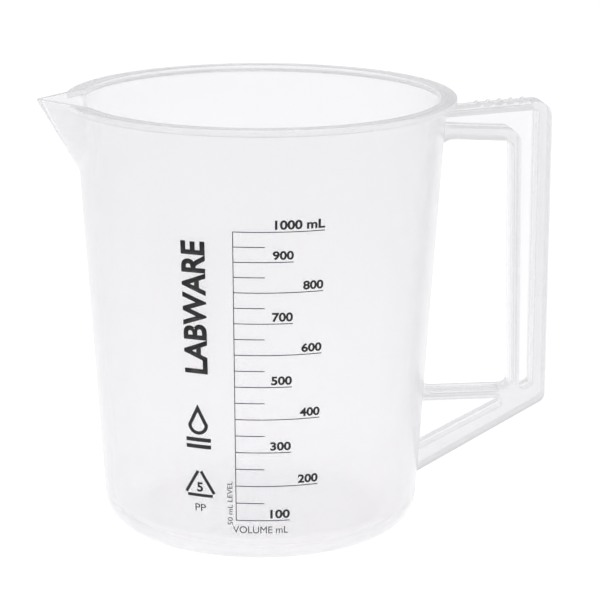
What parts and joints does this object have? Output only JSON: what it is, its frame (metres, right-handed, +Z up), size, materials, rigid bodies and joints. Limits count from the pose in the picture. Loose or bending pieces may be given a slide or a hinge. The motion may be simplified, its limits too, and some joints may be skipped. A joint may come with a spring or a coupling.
{
  "type": "graduated handled beaker",
  "caption": "Translucent moulded jug beaker with a tapered wall, out-turned rim, V pouring spout, I-section handle and a printed millilitre scale.",
  "frame": {"origin": "on the vessel's axis, in the plane of the foot ring it stands on", "axes": "+Z up along the vessel's axis, +X from the axis towards the handle, spout towards -X"},
  "size_m": [0.1712, 0.1292, 0.145],
  "materials": {
    "natural_polypropylene": "translucent natural polypropylene, smooth moulded",
    "printed_ink": "screen-printed matt black ink"
  },
  "bodies": {
    "root": {"division_note": "printed_ink", "drop_outline": "printed_ink", "handle": "natural_polypropylene", "level_bars": "printed_ink", "long_graduations": "printed_ink", "material_code": "printed_ink", "material_digit": "printed_ink", "material_triangle": "printed_ink", "medium_graduations": "printed_ink", "numeral_01": "printed_ink", "numeral_02": "printed_ink", "numeral_03": "printed_ink", "numeral_04": "printed_ink", "numeral_05": "printed_ink", "numeral_06": "printed_ink", "numeral_07": "printed_ink", "numeral_08": "printed_ink", "numeral_09": "printed_ink", "numeral_10": "printed_ink", "scale_axis": "printed_ink", "short_graduations": "printed_ink", "side_word": "printed_ink", "vessel": "natural_polypropylene", "volume_note": "printed_ink"}
  },
  "joints": []
}
